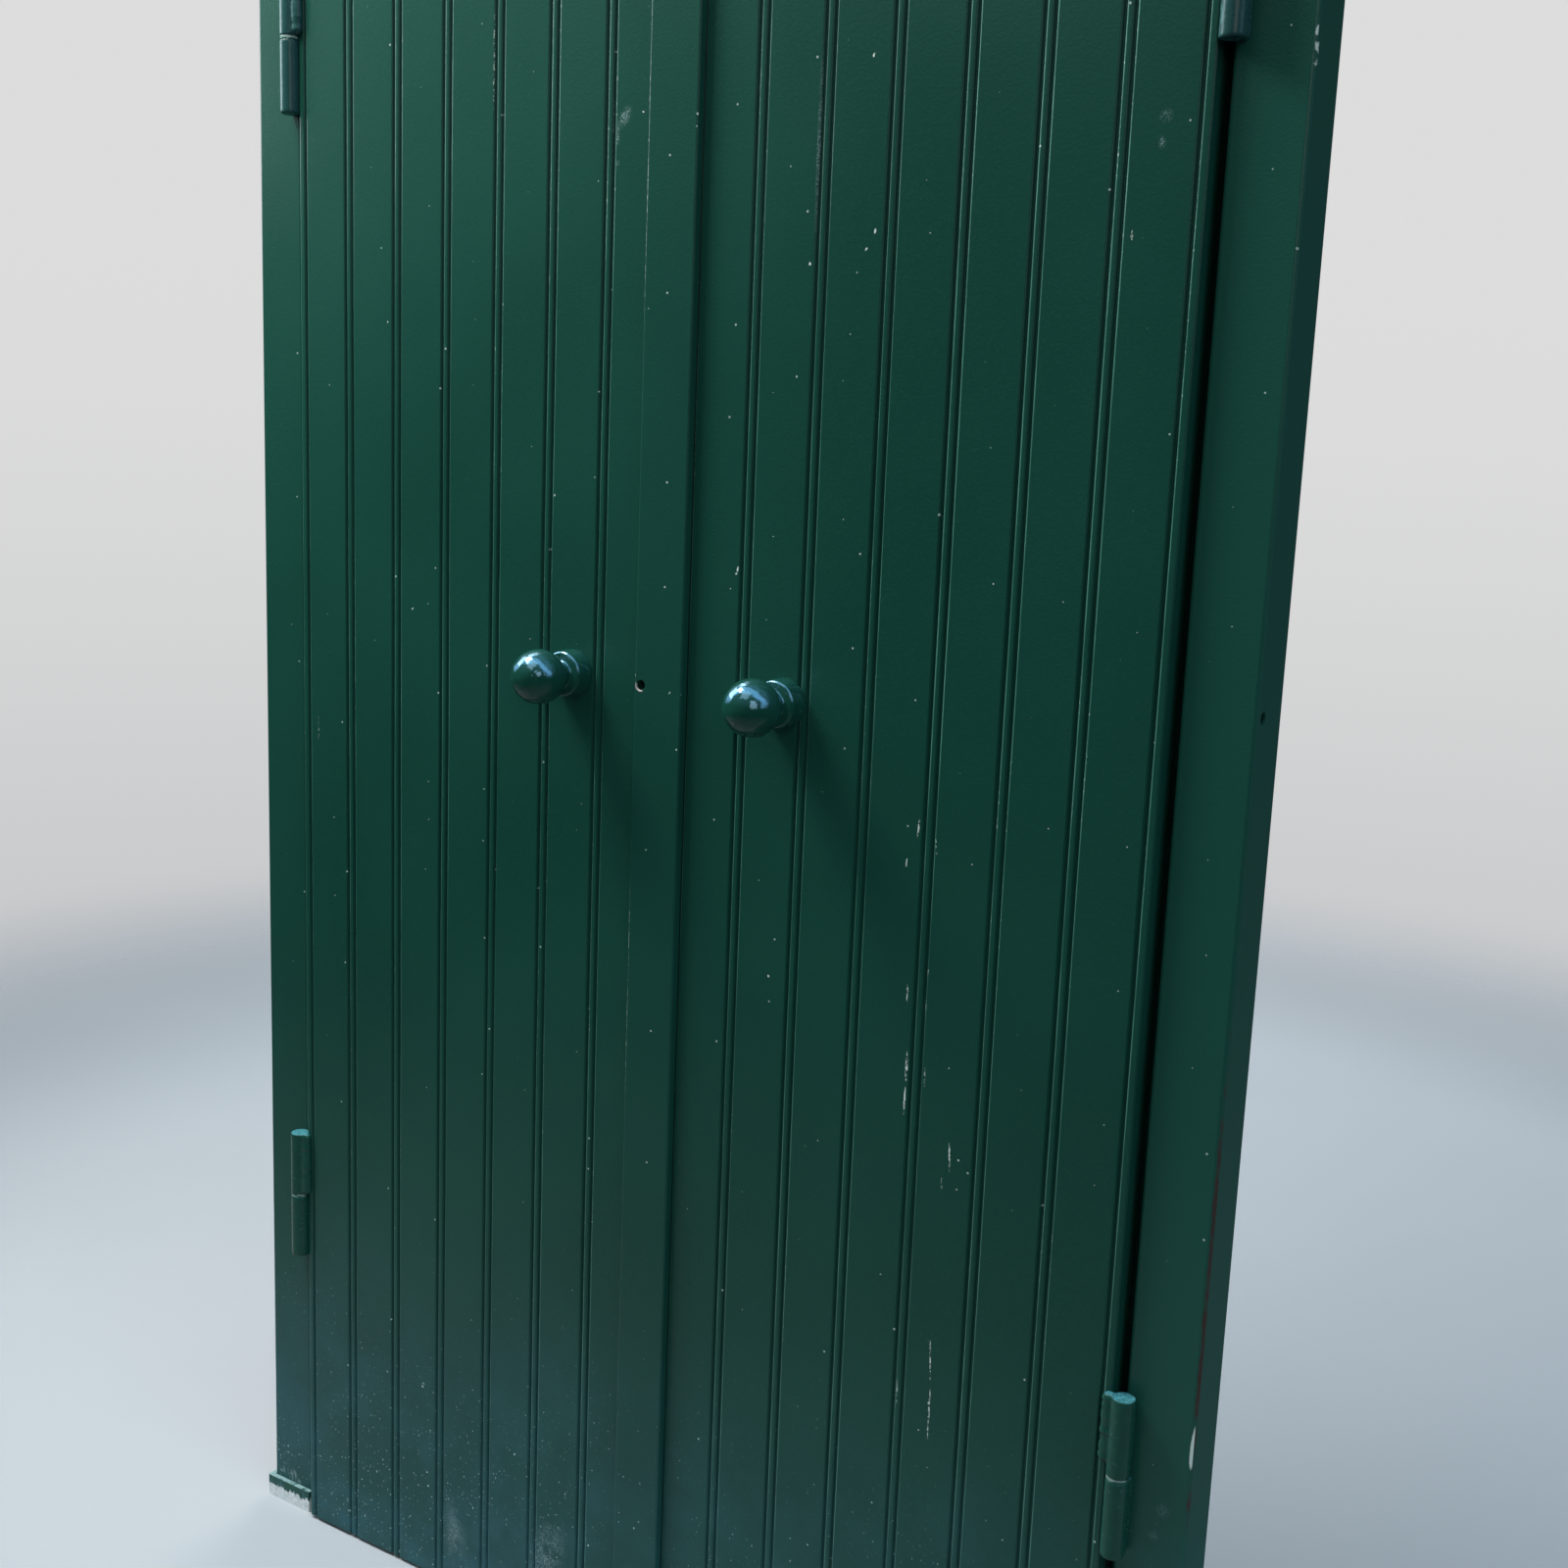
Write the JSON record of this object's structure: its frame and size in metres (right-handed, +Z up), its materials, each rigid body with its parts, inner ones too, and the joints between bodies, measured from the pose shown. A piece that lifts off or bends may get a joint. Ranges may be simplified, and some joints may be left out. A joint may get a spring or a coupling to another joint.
{
  "type": "pair of window shutters",
  "caption": "Double-leaf painted steel shutters in their welded tube frame: grooved board-pattern skins, cover strip, ball pull knobs, weld-on hinges, rim lock and slide bolts.",
  "frame": {"origin": "middle of the sill bar's underside, on the floor line", "axes": "+X to the right as seen from outside, +Y into the wall, +Z up"},
  "size_m": [1.076, 0.15, 2.042],
  "materials": {
    "leaf_paint": "dark green gloss paint, dusty near the foot, with small white chips and scratches",
    "frame_paint": "dark green gloss paint, chipped to primer along the outer edge and at the feet",
    "hinge_paint": "thick dark green brush paint over the weld, worn bright at the joint",
    "knob_paint": "lumpy dark green gloss paint, scratched",
    "brass_washer": "ring rubbed bare of its paint",
    "hinge_steel": "greased plain steel",
    "zinc_fittings": "dull zinc plate"
  },
  "bodies": {
    "frame": {"jamb_left": "frame_paint", "jamb_right": "frame_paint", "head_rail": "frame_paint", "foot_left": "frame_paint", "foot_right": "frame_paint", "sill_bar": "frame_paint", "stop_head": "frame_paint", "stop_left": "frame_paint", "stop_right": "frame_paint", "hinge_lower_left_frame_barrel": "hinge_paint", "hinge_lower_left_pin": "hinge_steel", "hinge_lower_left_washer": "brass_washer", "hinge_upper_left_frame_barrel": "hinge_paint", "hinge_upper_left_pin": "hinge_steel", "hinge_upper_left_washer": "brass_washer", "hinge_lower_right_frame_barrel": "hinge_paint", "hinge_lower_right_pin": "hinge_steel", "hinge_lower_right_washer": "brass_washer", "hinge_upper_right_frame_barrel": "hinge_paint", "hinge_upper_right_pin": "hinge_steel", "hinge_upper_right_washer": "brass_washer"},
    "leaf_left": {"leaf_left_skin": "leaf_paint", "leaf_left_hinge_stile": "leaf_paint", "leaf_left_closing_stile": "leaf_paint", "leaf_left_top_rail": "leaf_paint", "leaf_left_middle_rail": "leaf_paint", "leaf_left_bottom_rail": "leaf_paint", "cover_strip": "leaf_paint", "knob_left": "knob_paint", "knob_left_screw": "zinc_fittings", "lock_case": "leaf_paint", "lock_cover": "zinc_fittings", "lock_screws": "zinc_fittings", "hinge_lower_left_leaf_barrel": "hinge_paint", "hinge_upper_left_leaf_barrel": "hinge_paint"},
    "leaf_right": {"leaf_right_skin": "leaf_paint", "leaf_right_hinge_stile": "leaf_paint", "leaf_right_closing_stile": "leaf_paint", "leaf_right_top_rail": "leaf_paint", "leaf_right_middle_rail": "leaf_paint", "leaf_right_bottom_rail": "leaf_paint", "knob_right": "knob_paint", "knob_right_screw": "zinc_fittings", "keeper": "leaf_paint", "keeper_screws": "zinc_fittings", "slide_bolt_top_plate": "zinc_fittings", "slide_bolt_bottom_plate": "zinc_fittings", "slide_bolt_screws": "zinc_fittings", "hinge_lower_right_leaf_barrel": "hinge_paint", "hinge_upper_right_leaf_barrel": "hinge_paint"},
    "lock_bolt": {"lock_bolt": "zinc_fittings"},
    "slide_bolt_top": {"slide_bolt_top_rod": "zinc_fittings"},
    "slide_bolt_bottom": {"slide_bolt_bottom_rod": "zinc_fittings"}
  },
  "joints": [
    {"name": "leaf_left_hinge", "type": "hinge", "parent": "frame", "child": "leaf_left", "pos_m": [-0.4755, -0.048, 0.986], "axis": [0, 0, -1], "range_deg": [0, 165]},
    {"name": "leaf_right_hinge", "type": "hinge", "parent": "frame", "child": "leaf_right", "pos_m": [0.4755, -0.048, 0.98], "axis": [0, 0, 1], "range_deg": [0, 165]},
    {"name": "lock_bolt_slide", "type": "slide", "parent": "leaf_left", "child": "lock_bolt", "axis": [1, 0, 0], "range_m": [0, 0.018]},
    {"name": "slide_bolt_top_slide", "type": "slide", "parent": "leaf_right", "child": "slide_bolt_top", "axis": [0, 0, 1], "range_m": [0, 0.018]},
    {"name": "slide_bolt_bottom_slide", "type": "slide", "parent": "leaf_right", "child": "slide_bolt_bottom", "axis": [0, 0, -1], "range_m": [0, 0.018]}
  ],
  "couplings": [
    {"joint": "leaf_right_hinge", "follows": "leaf_left_hinge", "ratio": 1}
  ]
}
